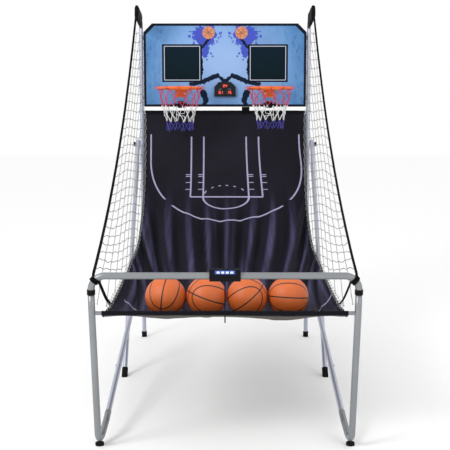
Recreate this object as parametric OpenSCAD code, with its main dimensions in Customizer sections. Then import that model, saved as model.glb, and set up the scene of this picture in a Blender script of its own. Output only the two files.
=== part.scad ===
// Two-player basketball hoop machine.
// Frame: X to the player's right, Y from the player towards the backboard, Z up.
// Lengths along Y count from the front crossbar; placed() then moves the origin to the
// middle of the footprint, on the floor.

/* [Frame] */
// Distance from the front crossbar to the plane of the rear uprights
depth = 2000; // [1800:10:2200]
// Distance between the centre lines of the rear uprights
upright_span = 1022; // [980:2:1060]
// Height of the rear uprights
upright_h = 1915; // [1850:5:1950]
// Diameter of the main frame tubes
tube_d = 25; // [22:0.5:28]
// Diameter of the front bar and front legs
front_d = 28; // [25:0.5:32]
// Distance between the centre lines of the front legs
leg_span = 1067; // [1040:1:1100]
// Wall thickness of every tube
wall = 1.2; // [0.8:0.1:2]

/* [Front frame] */
// Height of the front crossbar that carries the trough
crossbar_h = 593; // [560:1:620]
// Radius of that crossbar
crossbar_r = 8; // [7:0.5:11]
// Height of the front top bar
top_bar_h = 747; // [720:1:780]
// Radius of the top bar's corner bends
bar_bend = 58; // [50:1:90]
// Distance of the front feet behind the crossbar
foot_y = 100; // [80:5:130]

/* [Side frame] */
// Distance of the strut feet from the crossbar
strut_foot_y = 1130; // [1080:5:1180]
// Height at which each strut is bolted to its upright
strut_top_h = 1215; // [1150:5:1260]
// Height of the folding pivot
pivot_h = 345; // [320:1:370]
// Diameter of the pivot bolts
pivot_d = 8; // [6:0.5:10]

/* [Backboard] */
// Width of the backboard
board_w = 990; // [940:2:994]
// Height of the backboard
board_h = 500; // [460:2:520]
// Thickness of the backboard
board_t = 9; // [6:0.5:15]
// Height of the backboard's lower edge above the floor
board_z = 1444; // [1430:1:1460]
// Size of the cut at the upper corners
board_cut = 52; // [40:1:70]

/* [Hoops] */
// Distance of each hoop from the middle
hoop_x = 268; // [250:1:280]
// Height of the hoops
hoop_z = 1550; // [1530:1:1570]
// Inner diameter of the hoops
hoop_d = 250; // [240:1:270]
// Diameter of the hoop's rod
hoop_rod = 13; // [10:0.5:16]
// Length of the hoop nets
net_drop = 255; // [230:5:270]

/* [Game] */
// Diameter of the balls
ball_d = 174; // [165:1:175]

/* [Hidden] */
$fn = 48;

tube_r = tube_d / 2;
front_r = front_d / 2;
side_x = upright_span / 2;
leg_x = leg_span / 2;
strut_x = side_x + tube_d + 1;
foot_lift = 4;
// Middle of the footprint, counted from the front crossbar
mid_y = 992;
strut_rise = strut_top_h - 12;
strut_run = depth - strut_foot_y;
// How far a strut runs on past its top bolt, as a share of its length
past_bolt = 0.017;
pivot_y = strut_foot_y + strut_run * (pivot_h - 12) / strut_rise;
board_y = depth - tube_r - board_t;
hoop_y = board_y - 45 - hoop_d / 2;
hoop_r = hoop_d / 2 + hoop_rod / 2;
sensor_y = board_y - 42;
sensor_z = hoop_z - 92;
box_w = 124;
box_h = 40;
box_y = -front_r - 14;
button_pitch = 18;
button_w = 12;
cable_d = 5;
arm_tip = [side_x + 4, depth - 240, upright_h + 70];
strap_end = [leg_x - 6, 22, top_bar_h + 3];
// Where the balls lie in the trough, from left to right
ball_x = [for (i = [0 : 3]) 8 + (i - 1.5) * (ball_d + 0.5)];
ball_y = 235;
ball_z = 526 + ball_d / 2;

// Height of the ramp's upper face at a distance y behind the crossbar, from front to back
ramp_path = [
    [11, 583], [60, 556], [120, 538], [200, 526], [300, 526], [450, 532], [700, 546], [950, 566],
    [1200, 596], [1400, 640], [1560, 700], [1700, 780], [1810, 870], [1890, 970], [1940, 1080],
    [1966, 1200], [1978, 1310], [1982, 1400]
];
ramp_t = 2;
ramp_w = 984;
net_t = 3;
net_x = 502;

// Moves a piece from the crossbar's frame to the machine's own
module placed() {
    translate([0, -mid_y, 0])
        children();
}

// A round bar from a to b
module bar(a, b, r) {
    v = b - a;
    len = norm(v);
    translate(a)
        rotate([0, acos(v.z / len), atan2(v.y, v.x)])
            cylinder(r = r, h = len);
}

// A round bar through a list of points, with a ball at each corner
module bar_path(pts, r) {
    for (i = [0 : len(pts) - 2])
        bar(pts[i], pts[i + 1], r);
    for (i = [1 : 1 : len(pts) - 2])
        translate(pts[i])
            sphere(r = r);
}

// The same, hollow and open at both ends
module tube_path(pts, r) {
    n = len(pts) - 1;
    first = pts[0] - (pts[1] - pts[0]) / norm(pts[1] - pts[0]);
    last = pts[n] + (pts[n] - pts[n - 1]) / norm(pts[n] - pts[n - 1]);
    inner = [for (i = [0 : n]) i == 0 ? first : i == n ? last : pts[i]];
    difference() {
        bar_path(pts, r);
        bar_path(inner, r - wall);
    }
}

// A hole along X through a tube
module cross_hole(x, y, z, d) {
    translate([x, y, z])
        rotate([0, 90, 0])
            cylinder(d = d, h = 80, center = true);
}

// A disc or rod along X, from x to x + h
module x_disc(x, y, z, d, h) {
    translate([x, y, z])
        rotate([0, 90, 0])
            cylinder(d = d, h = h);
}

// Points of an arc of radius r that rounds the corner b between a and c
function rounded(a, b, c, r, n = 6) =
    let (u = (a - b) / norm(a - b), v = (c - b) / norm(c - b),
         half = acos(u * v) / 2,
         centre = b + (u + v) / norm(u + v) * r / sin(half),
         from = b + u * r / tan(half) - centre, to = b + v * r / tan(half) - centre,
         turn = 180 - 2 * half)
    [for (i = [0 : n])
        centre + (from * sin(turn * (1 - i / n)) + to * sin(turn * i / n)) / sin(turn)];

// Direction of a route at point i
function heading(pts, i) =
    pts[min(i + 1, len(pts) - 1)] - pts[max(i - 1, 0)];

// One ring of a swept tube, square to dir; side is any direction the route never takes
function ring(p, dir, r, sides, side) =
    let (u = cross(dir, side) / norm(cross(dir, side)), v = cross(dir, u) / norm(dir))
    [for (k = [0 : sides - 1]) p + r * cos(360 * k / sides) * u + r * sin(360 * k / sides) * v];

module swept(pts, r, sides = 8, side = [1, 0, 0]) {
    n = len(pts);
    rings = [for (i = [0 : n - 1]) each ring(pts[i], heading(pts, i), r, sides, side)];
    walls = [for (i = [0 : n - 2], k = [0 : sides - 1])
        let (a = i * sides + k, b = i * sides + (k + 1) % sides)
        [a, a + sides, b + sides, b]];
    near = [for (k = [0 : sides - 1]) k];
    far = [for (k = [sides - 1 : -1 : 0]) (n - 1) * sides + k];
    polyhedron(points = rings, faces = concat(walls, [near, far]), convexity = 10);
}

// A bent tube: the route swept twice, with the inner sweep reaching past both ends
module bent_tube(pts, r, side = [1, 0, 0]) {
    n = len(pts) - 1;
    first = pts[0] - (pts[1] - pts[0]) / norm(pts[1] - pts[0]);
    last = pts[n] + (pts[n] - pts[n - 1]) / norm(pts[n] - pts[n - 1]);
    inner = [for (i = [0 : n]) i == 0 ? first : i == n ? last : pts[i]];
    difference() {
        swept(pts, r, 16, side);
        swept(inner, r - wall, 16, side);
    }
}

// A point on the net's front edge, t from 0 at the front bar to 1 at the arm's tip
function strap_point(s, t) =
    let (sag = 4 * 120 * t * (1 - t))
    [s * (strap_end.x + (arm_tip.x - strap_end.x) * t),
     strap_end.y + (arm_tip.y - strap_end.y) * t + sag * 0.3,
     strap_end.z + (arm_tip.z - strap_end.z) * t - sag];

// Rear stand

module upright(s) {
    color("gainsboro")
        difference() {
            tube_path([[s * side_x, depth, foot_lift], [s * side_x, depth, upright_h]], tube_r);
            cross_hole(s * side_x, depth, strut_top_h, pivot_d + 0.4);
        }
}

module left_upright() {
    upright(-1);
}

module right_upright() {
    upright(1);
}

module strut(s) {
    x = s * strut_x;
    color("lightsteelblue")
        difference() {
            tube_path([[x, strut_foot_y, 12],
                       [x, depth + past_bolt * strut_run, strut_top_h + past_bolt * strut_rise]], tube_r);
            cross_hole(x, depth, strut_top_h, pivot_d + 0.4);
            cross_hole(x, pivot_y, pivot_h, pivot_d + 0.1);
        }
}

module left_strut() {
    strut(-1);
}

module right_strut() {
    strut(1);
}

// Heights of the bars between the uprights
lower_bar_h = 470;
ramp_bar_h = 1412;
ramp_bar_r = 8;
board_bar_h = 1860;

// Low tube that ties each upright to its strut, inside the strut
module tie_tube(s) {
    z = lower_bar_h;
    y = strut_foot_y + strut_run * (z - 12) / strut_rise;
    color("gainsboro")
        tube_path([[s * side_x, y - 5, z], [s * side_x, depth - tube_r - 1, z]], tube_r);
}

module left_tie_tube() {
    tie_tube(-1);
}

module right_tie_tube() {
    tie_tube(1);
}

// Bar between the uprights, its ends resting on their inner faces
module span_bar(z, r) {
    x = side_x - tube_r - 0.2;
    tube_path([[-x, depth, z], [x, depth, z]], r);
}

module lower_rear_bar() {
    color("gainsboro")
        span_bar(lower_bar_h, tube_r);
}

module ramp_top_bar() {
    color("gainsboro")
        span_bar(ramp_bar_h, ramp_bar_r);
}

module board_bar() {
    color("gainsboro")
        span_bar(board_bar_h, tube_r);
}

module foot_cap(x, y, z0) {
    difference() {
        translate([x, y, z0])
            cylinder(d = tube_d + 7, h = 34);
        translate([x, y, z0 + foot_lift])
            cylinder(d = tube_d + 0.2, h = 34);
    }
}

// Rubber cap on a strut's slanted end, cut flat on the floor
module strut_cap(s) {
    tilt = atan2(strut_run, strut_rise);
    difference() {
        intersection() {
            translate([s * strut_x, strut_foot_y, 12])
                rotate([-tilt, 0, 0])
                    translate([0, 0, -24])
                        cylinder(d = tube_d + 7, h = 58);
            translate([s * strut_x - 40, strut_foot_y - 80, 0])
                cube([80, 160, 80]);
        }
        translate([s * strut_x, strut_foot_y, 12])
            rotate([-tilt, 0, 0])
                cylinder(d = tube_d + 0.2, h = 80);
    }
}

module rear_feet() {
    color("black")
        for (s = [-1, 1]) {
            foot_cap(s * side_x, depth, 0);
            strut_cap(s);
        }
}

// Straight part of a net arm runs from here to the arm's tip
function arm_start(s) = [s * side_x, depth - 34, upright_h + 44];

// Arm that holds the net's upper corner, plugged on the upright and bent forward
module net_arm(s) {
    base = [s * side_x, depth, upright_h];
    tip = [s * arm_tip.x, arm_tip.y, arm_tip.z];
    corner = [s * side_x, depth, upright_h + 40];
    color("dimgray")
        bent_tube(concat([base], rounded(base, corner, tip, 30), [tip]), tube_r - 2);
}

module left_net_arm() {
    net_arm(-1);
}

module right_net_arm() {
    net_arm(1);
}

module arm_sleeve(s) {
    base = arm_start(s);
    v = [s * arm_tip.x, arm_tip.y, arm_tip.z] - base;
    len = norm(v);
    color("black")
        translate(base + v * 0.08)
            rotate([0, acos(v.z / len), atan2(v.y, v.x)])
                linear_extrude(len * 0.94)
                    difference() {
                        union() {
                            square([54, 26], center = true);
                            for (dx = [-27, 27])
                                translate([dx, 0])
                                    circle(r = 13);
                        }
                        circle(r = tube_r - 1.6);
                    }
}

module left_arm_sleeve() {
    arm_sleeve(-1);
}

module right_arm_sleeve() {
    arm_sleeve(1);
}

// Bolts that hold each strut on its upright
module strut_bolts() {
    color("dimgray")
        for (s = [-1, 1]) {
            x0 = s > 0 ? side_x - 20 : -side_x - 50;
            x_disc(x0, depth, strut_top_h, pivot_d, 70);
            x_disc(s > 0 ? x0 - 5 : x0 + 70, depth, strut_top_h, pivot_d + 6, 5);
        }
}

knob_t = 12;

// Knob that tightens a strut on its upright
module knob(s) {
    x = s * (strut_x + tube_r + 1.5);
    color("black")
        difference() {
            union() {
                x_disc(s > 0 ? x : x - knob_t, depth, strut_top_h, 22, knob_t);
                for (a = [0 : 60 : 300])
                    x_disc(s > 0 ? x + 3 : x - knob_t, depth + 11 * cos(a), strut_top_h + 11 * sin(a), 8,
                           knob_t - 3);
            }
            x_disc(s > 0 ? x - 1 : x - knob_t - 1, depth, strut_top_h, pivot_d + 0.1, knob_t + 2);
        }
}

module left_knob() {
    knob(-1);
}

module right_knob() {
    knob(1);
}

// Backboard

module board_outline(inset) {
    w = board_w / 2 - inset;
    top = board_h - inset;
    polygon([[-w, inset], [w, inset], [w, top - board_cut], [w - board_cut, top],
             [-w + board_cut, top], [-w, top - board_cut]]);
}

module board_plate(y, t) {
    translate([0, y + t, board_z])
        rotate([90, 0, 0])
            linear_extrude(t)
                children();
}

module board_panel() {
    color("cornflowerblue")
        difference() {
            board_plate(board_y, board_t)
                board_outline(6);
            for (s = [-1, 1], dx = [-22, 22])
                translate([s * hoop_x + dx, board_y - 1, bolt_z])
                    rotate([-90, 0, 0])
                        cylinder(d = 6.4, h = board_t + 2);
        }
}

module board_trim() {
    color("black")
        difference() {
            board_plate(board_y - 1.5, board_t + 1.4)
                board_outline(0);
            board_plate(board_y, board_t)
                board_outline(5.9);
            board_plate(board_y - 10, board_t + 20)
                board_outline(14);
        }
}

module board_clips() {
    color("dimgray")
        for (s = [-1, 1], z = [1500, 1650, 1800])
            translate([s * (side_x - tube_r - 15.2) - 15, board_y + board_t + 0.1, z - 12])
                cube([30, tube_r - 2, 24]);
}

case_z = hoop_z - 45;
// Each display: its middle across, its middle up from the case's base, its width
displays = [[0, 64, 30], [-26, 25, 32], [26, 25, 32]];

module case_outline() {
    polygon([[-65, 0], [65, 0], [65, 58], [36, 88], [-36, 88], [-65, 58]]);
}

module scoreboard_case() {
    color("black")
        difference() {
            translate([0, board_y - 0.1, case_z])
                rotate([90, 0, 0])
                    linear_extrude(20)
                        case_outline();
            for (w = displays)
                translate([w[0] - w[2] / 2 - 0.2, board_y - 21, case_z + w[1] - 10.2])
                    cube([w[2] + 0.4, 5, 20.4]);
        }
}

module scoreboard_displays() {
    color("red")
        for (w = displays)
            translate([w[0] - w[2] / 2, board_y - 20.1, case_z + w[1] - 10])
                cube([w[2], 4, 20]);
}

// Strap that ties the ramp's top hem to the board
module centre_strap() {
    ramp_top = ramp_path[len(ramp_path) - 1];
    color("black")
        translate([103, ramp_top.x + 0.2, ramp_top.y + 0.3])
            cube([47, 1.6, board_z - ramp_top.y - 0.6]);
}

// Hoops

module hoop(s) {
    color("orangered")
        translate([s * hoop_x, hoop_y, hoop_z])
            rotate_extrude($fn = 72)
                translate([hoop_r, 0])
                    circle(d = hoop_rod, $fn = 24);
}

// Wedge from the backboard to the ring, with its four bolt holes
// Height of the bolts that hold each bracket to the board
bolt_z = hoop_z - 26;

module hoop_bracket() {
    back = board_y - 0.1;
    difference() {
        union() {
            translate([-36, back - 3, hoop_z - 48])
                cube([72, 3, 54]);
            hull() {
                translate([-34, back - 3, hoop_z - 4])
                    cube([68, 2.5, 8]);
                translate([-34, hoop_y + hoop_r - 2, hoop_z - 4])
                    cube([68, 4, 8]);
                translate([-20, back - 3, hoop_z - 44])
                    cube([40, 2.5, 6]);
            }
        }
        for (dx = [-22, 22])
            translate([dx, back - 50, bolt_z])
                rotate([-90, 0, 0])
                    cylinder(d = 6.4, h = 52);
        for (dx = [-22, 22])
            translate([dx, back - 50, bolt_z])
                rotate([-90, 0, 0])
                    cylinder(d = 13, h = 47);
    }
}

module hoop_brackets() {
    color("orangered")
        for (s = [-1, 1])
            translate([s * hoop_x, 0, 0])
                hoop_bracket();
}

module left_hoop() {
    hoop(-1);
}

module right_hoop() {
    hoop(1);
}

module hoop_bolts() {
    color("silver")
        for (s = [-1, 1], dx = [-22, 22])
            translate([s * hoop_x + dx, board_y - 3.2, bolt_z])
                rotate([-90, 0, 0]) {
                    cylinder(d = 6, h = board_t + 8);
                    translate([0, 0, -3])
                        cylinder(d = 11, h = 3);
                    translate([0, 0, board_t + 3.4])
                        cylinder(d = 12, h = 4, $fn = 6);
                }
}

// Tapered skirt that stands for the knotted net under a hoop
module hoop_net(s) {
    top_r = hoop_r - hoop_rod / 2 - 2;
    low_r = 80;
    color("white")
        translate([s * hoop_x, hoop_y, hoop_z - 8 - net_drop])
            difference() {
                cylinder(r1 = low_r, r2 = top_r, h = net_drop);
                translate([0, 0, -0.1])
                    cylinder(r1 = low_r - 2, r2 = top_r - 2, h = net_drop + 0.2);
                // Room for the bracket and the sensor
                translate([-40, 40, net_drop - 145])
                    cube([80, 120, net_drop]);
            }
}

module left_hoop_net() {
    hoop_net(-1);
}

module right_hoop_net() {
    hoop_net(1);
}

// Fork that holds each score sensor's arm
module sensor_housings() {
    color("black")
        for (s = [-1, 1])
            translate([s * hoop_x, 0, 0])
                difference() {
                    union() {
                        translate([-20, board_y - 9.6, sensor_z - 22])
                            cube([40, 8, 40]);
                        for (dx = [-18, 12])
                            translate([dx, sensor_y - 9, sensor_z - 10])
                                cube([6, board_y - sensor_y + 1, 20]);
                    }
                    x_disc(-30, sensor_y, sensor_z, 5.06, 60);
                }
}

// Arm that a falling ball pushes down, with a three-way paddle at its end
module sensor_arm(s) {
    hub = [s * hoop_x, sensor_y, sensor_z];
    reach = 118;
    color("black") {
        x_disc(hub.x - 11, sensor_y, sensor_z, 16, 22);
        x_disc(hub.x - 20, sensor_y, sensor_z, 5, 40);
        bar_path([hub, hub + [0, -reach * 0.45, -12], hub + [0, -reach, -4]], 5);
        for (dx = [-1, 1])
            bar_path([hub + [0, -reach * 0.45, -12], hub + [dx * 36, -reach * 0.8, 2]], 4.5);
    }
}

module left_sensor_arm() {
    sensor_arm(-1);
}

module right_sensor_arm() {
    sensor_arm(1);
}

// Soft parts of the playing field

module ramp() {
    lower = [for (i = [len(ramp_path) - 1 : -1 : 0])
        let (d = heading(ramp_path, i) / norm(heading(ramp_path, i)))
        ramp_path[i] + ramp_t * [d.y, -d.x]];
    color("midnightblue")
        rotate([90, 0, 90])
            linear_extrude(ramp_w, center = true)
                polygon(concat(ramp_path, lower));
}

module side_net(s) {
    last = len(ramp_path) - 1;
    edge = [for (i = [1 : last]) ramp_path[i] + [0, 12]];
    strap = [for (t = [0.9 : -0.1 : 0.05])
        let (p = strap_point(s, t)) [p.y + 10, p.z - 18]];
    top = [[depth - tube_r - 4, upright_h - 40]];
    color("white")
        translate([s * net_x - net_t / 2, 0, 0])
            rotate([90, 0, 90])
                linear_extrude(net_t)
                    difference() {
                        polygon(concat(edge, top, strap));
                        // The field's inner third, where the mesh is open
                        offset(delta = -90)
                            polygon(concat(edge, top, strap));
                    }
}

module left_net() {
    side_net(-1);
}

module right_net() {
    side_net(1);
}

// Front frame

// Where the long side tube's line meets height and depth near the front foot
side_slope = 0.228;
function side_point(s, y) = [s * side_x, y, pivot_h - side_slope * (pivot_y - y)];
bar_end_z = top_bar_h - bar_bend - 8;

// Route of a front leg: from the top bar, past the crossbar, round the foot and back
function leg_route(s) =
    let (x = s * leg_x, top = [x, -9, bar_end_z], knee = [x, 0, crossbar_h],
         foot = [x - s * 3, foot_y, 2], heel = side_point(s, 200), end = side_point(s, 270))
    concat([top], rounded(top, knee, foot, 150, 4), rounded(knee, foot, heel, 38, 8),
           rounded(foot, heel, end, 90, 4), [end]);

module front_leg(s) {
    color("darkgray")
        bent_tube(leg_route(s), front_r);
}

module left_front_leg() {
    front_leg(-1);
}

module right_front_leg() {
    front_leg(1);
}

// Long low tube from the front leg's end back to the folding pivot
module side_tube(s) {
    bolt = side_point(s, 675);
    color("lightsteelblue")
        difference() {
            tube_path([side_point(s, 270.2), side_point(s, pivot_y + 16)], tube_r);
            cross_hole(s * side_x, pivot_y, pivot_h, pivot_d);
            cross_hole(bolt.x, bolt.y, bolt.z, 6);
        }
}

module left_side_tube() {
    side_tube(-1);
}

module right_side_tube() {
    side_tube(1);
}

module top_bar() {
    low = [leg_x, -9, bar_end_z + 1];
    corner = [leg_x, -15, top_bar_h];
    far_corner = [-leg_x, -15, top_bar_h];
    far_low = [-leg_x, -9, bar_end_z + 1];
    color("darkgray")
        bent_tube(concat([low], rounded(low, corner, far_corner, bar_bend),
                         rounded(corner, far_corner, far_low, bar_bend), [far_low]),
                  front_r, [0, 1, 0]);
}

// Half way between the lean of the leg below and of the bar above
collar_lean = 5.5;

module bar_collars() {
    color("black")
        for (s = [-1, 1])
            translate([s * leg_x, -9, bar_end_z])
                rotate([collar_lean, 0, 0])
                    difference() {
                        cylinder(r = front_r + 2.6, h = 21, center = true);
                        cylinder(r = front_r + 0.8, h = 23, center = true);
                    }
}

module crossbar() {
    x = leg_x - front_r - 0.1;
    color("gray")
        tube_path([[-x, 0, crossbar_h], [x, 0, crossbar_h]], crossbar_r);
}

// Sleeve of the ramp that wraps the crossbar
module front_hem() {
    color("black")
        difference() {
            x_disc(-495, 0, crossbar_h, 2 * crossbar_r + 3.6, 990);
            x_disc(-500, 0, crossbar_h, 2 * crossbar_r + 0.4, 1000);
        }
}

module pivot_bolts() {
    color("dimgray")
        for (s = [-1, 1]) {
            inner = side_x - tube_r - 2;
            reach = strut_x + tube_r + 2 - inner;
            x_disc(s > 0 ? inner : -inner - reach, pivot_y, pivot_h, pivot_d, reach);
            x_disc(s > 0 ? inner - 4 : -inner, pivot_y, pivot_h, pivot_d + 6, 4);
            x_disc(s > 0 ? inner + reach : -inner - reach - 5, pivot_y, pivot_h, pivot_d + 6, 5);
        }
}

module side_bolts() {
    bolt = side_point(1, 675);
    color("silver")
        for (s = [-1, 1]) {
            x_disc(s * side_x - tube_r - 3, bolt.y, bolt.z, 5.9, tube_d + 6);
            x_disc(s > 0 ? side_x + tube_r + 0.1 : -side_x - tube_r - 4.1, bolt.y, bolt.z, 13, 4);
        }
}

// Rubber pads under the front legs' bends
module front_feet() {
    color("black")
        for (s = [-1, 1])
            difference() {
                translate([s * (leg_x - 5), foot_y + 20, 0])
                    cylinder(d = 36, h = 12);
                swept(leg_route(s), front_r + 0.3, 16);
            }
}

module strap(s) {
    pts = [for (t = [0.03 : 0.05 : 0.95]) strap_point(s, t)];
    color("black")
        swept(pts, 5.5);
}

module left_strap() {
    strap(-1);
}

module right_strap() {
    strap(1);
}

// Control box, clipped round the top bar

module control_box() {
    color("black")
        difference() {
            translate([-box_w / 2, box_y - 8, top_bar_h - box_h / 2 + 1])
                cube([box_w, 46, box_h + 6]);
            x_disc(-box_w, -15, top_bar_h, front_d + 0.4, 2 * box_w);
            translate([-box_w, -15, top_bar_h - box_h])
                cube([2 * box_w, 40, box_h]);
            for (i = [0 : 3])
                translate([(i - 1.5) * button_pitch - button_w / 2 - 0.3, box_y - 20, top_bar_h + 13])
                    cube([button_w + 0.6, 20, 9]);
        }
}

module control_plate() {
    y = box_y - 8;
    color("royalblue")
        difference() {
            translate([-40, y - 1, top_bar_h + 10])
                cube([80, 0.9, 15]);
            for (i = [0 : 3])
                translate([(i - 1.5) * button_pitch - button_w / 2 - 0.3, y - 10, top_bar_h + 13])
                    cube([button_w + 0.6, 20, 9]);
        }
}

module button(i) {
    color("white")
        translate([(i - 2.5) * button_pitch - button_w / 2, box_y - 12, top_bar_h + 13.3])
            cube([button_w, 8, 8.4]);
}

module button_1() {
    button(1);
}

module button_2() {
    button(2);
}

module button_3() {
    button(3);
}

module button_4() {
    button(4);
}

// Route of the cable from the control box to the ramp's underside
cable_route = [
    [0, -30, 727], [0, -30, 690], [0, -27, 655], [0, -24, 625], [0, -21, 602], [0, -18, 582],
    [0, -10, 568], [0, 2, 560], [0, 20, 553], [0, 40, 548], [0, 62, 540]
];

module control_cable() {
    color("black")
        swept(cable_route, cable_d / 2);
}

// Balls

module ball(i) {
    color("darkorange")
        translate([ball_x[i - 1], ball_y, ball_z])
            sphere(d = ball_d, $fn = 64);
}

module ball_1() {
    ball(1);
}

module ball_2() {
    ball(2);
}

module ball_3() {
    ball(3);
}

module ball_4() {
    ball(4);
}

placed() left_upright();
placed() right_upright();
placed() left_strut();
placed() right_strut();
placed() left_tie_tube();
placed() right_tie_tube();
placed() lower_rear_bar();
placed() ramp_top_bar();
placed() board_bar();
placed() rear_feet();
placed() left_net_arm();
placed() right_net_arm();
placed() left_arm_sleeve();
placed() right_arm_sleeve();
placed() strut_bolts();
placed() left_knob();
placed() right_knob();
placed() board_panel();
placed() board_trim();
placed() board_clips();
placed() scoreboard_case();
placed() scoreboard_displays();
placed() centre_strap();
placed() left_hoop();
placed() right_hoop();
placed() hoop_brackets();
placed() hoop_bolts();
placed() left_hoop_net();
placed() right_hoop_net();
placed() sensor_housings();
placed() left_sensor_arm();
placed() right_sensor_arm();
placed() ramp();
placed() left_net();
placed() right_net();
placed() left_front_leg();
placed() right_front_leg();
placed() left_side_tube();
placed() right_side_tube();
placed() top_bar();
placed() bar_collars();
placed() crossbar();
placed() front_hem();
placed() pivot_bolts();
placed() side_bolts();
placed() front_feet();
placed() left_strap();
placed() right_strap();
placed() control_box();
placed() control_plate();
placed() button_1();
placed() button_2();
placed() button_3();
placed() button_4();
placed() control_cable();
placed() ball_1();
placed() ball_2();
placed() ball_3();
placed() ball_4();
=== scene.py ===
"""Two-player basketball hoop machine: the looks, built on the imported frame."""

import math

import bpy
import numpy as np
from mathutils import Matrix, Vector, noise

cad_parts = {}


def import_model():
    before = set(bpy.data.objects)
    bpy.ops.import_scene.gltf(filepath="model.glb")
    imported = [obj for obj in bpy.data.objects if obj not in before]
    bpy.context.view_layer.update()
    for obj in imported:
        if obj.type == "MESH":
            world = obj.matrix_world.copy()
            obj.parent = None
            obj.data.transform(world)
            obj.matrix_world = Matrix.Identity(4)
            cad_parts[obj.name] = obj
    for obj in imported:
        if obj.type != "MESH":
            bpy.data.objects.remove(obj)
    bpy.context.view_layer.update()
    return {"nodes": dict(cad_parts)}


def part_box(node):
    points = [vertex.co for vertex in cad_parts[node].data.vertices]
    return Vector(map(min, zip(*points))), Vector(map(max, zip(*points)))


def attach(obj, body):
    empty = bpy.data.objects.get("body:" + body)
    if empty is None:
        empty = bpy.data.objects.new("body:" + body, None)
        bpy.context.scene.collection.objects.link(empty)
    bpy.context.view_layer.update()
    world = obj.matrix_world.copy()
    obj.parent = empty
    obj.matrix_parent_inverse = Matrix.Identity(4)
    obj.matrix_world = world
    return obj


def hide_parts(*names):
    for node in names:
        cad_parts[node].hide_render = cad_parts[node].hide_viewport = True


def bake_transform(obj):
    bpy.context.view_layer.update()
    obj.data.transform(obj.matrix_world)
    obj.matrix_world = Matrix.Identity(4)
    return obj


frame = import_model()

# ---------------------------------------------------------------- places


def middle(node):
    """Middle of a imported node's box."""
    low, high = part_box(node)
    return (Vector(low) + Vector(high)) / 2


LEG_LEAN = 0.011  # the front legs' upper ends stand outside the middle of their boxes
CROSSBAR = middle("crossbar")
UPRIGHT = middle("right_upright")
LEG_X = middle("right_front_leg").x + LEG_LEAN
SIDE_X = UPRIGHT.x
FRONT_Y = CROSSBAR.y
BOARD_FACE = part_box("board_panel")[0][1]
HOOP = middle("right_hoop")
PIVOT = middle("pivot_bolts")


def at(x, y, z):
    """A place given by its distance behind the front crossbar."""
    return Vector((x, FRONT_Y + y, z))


# ---------------------------------------------------------------- materials


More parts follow.
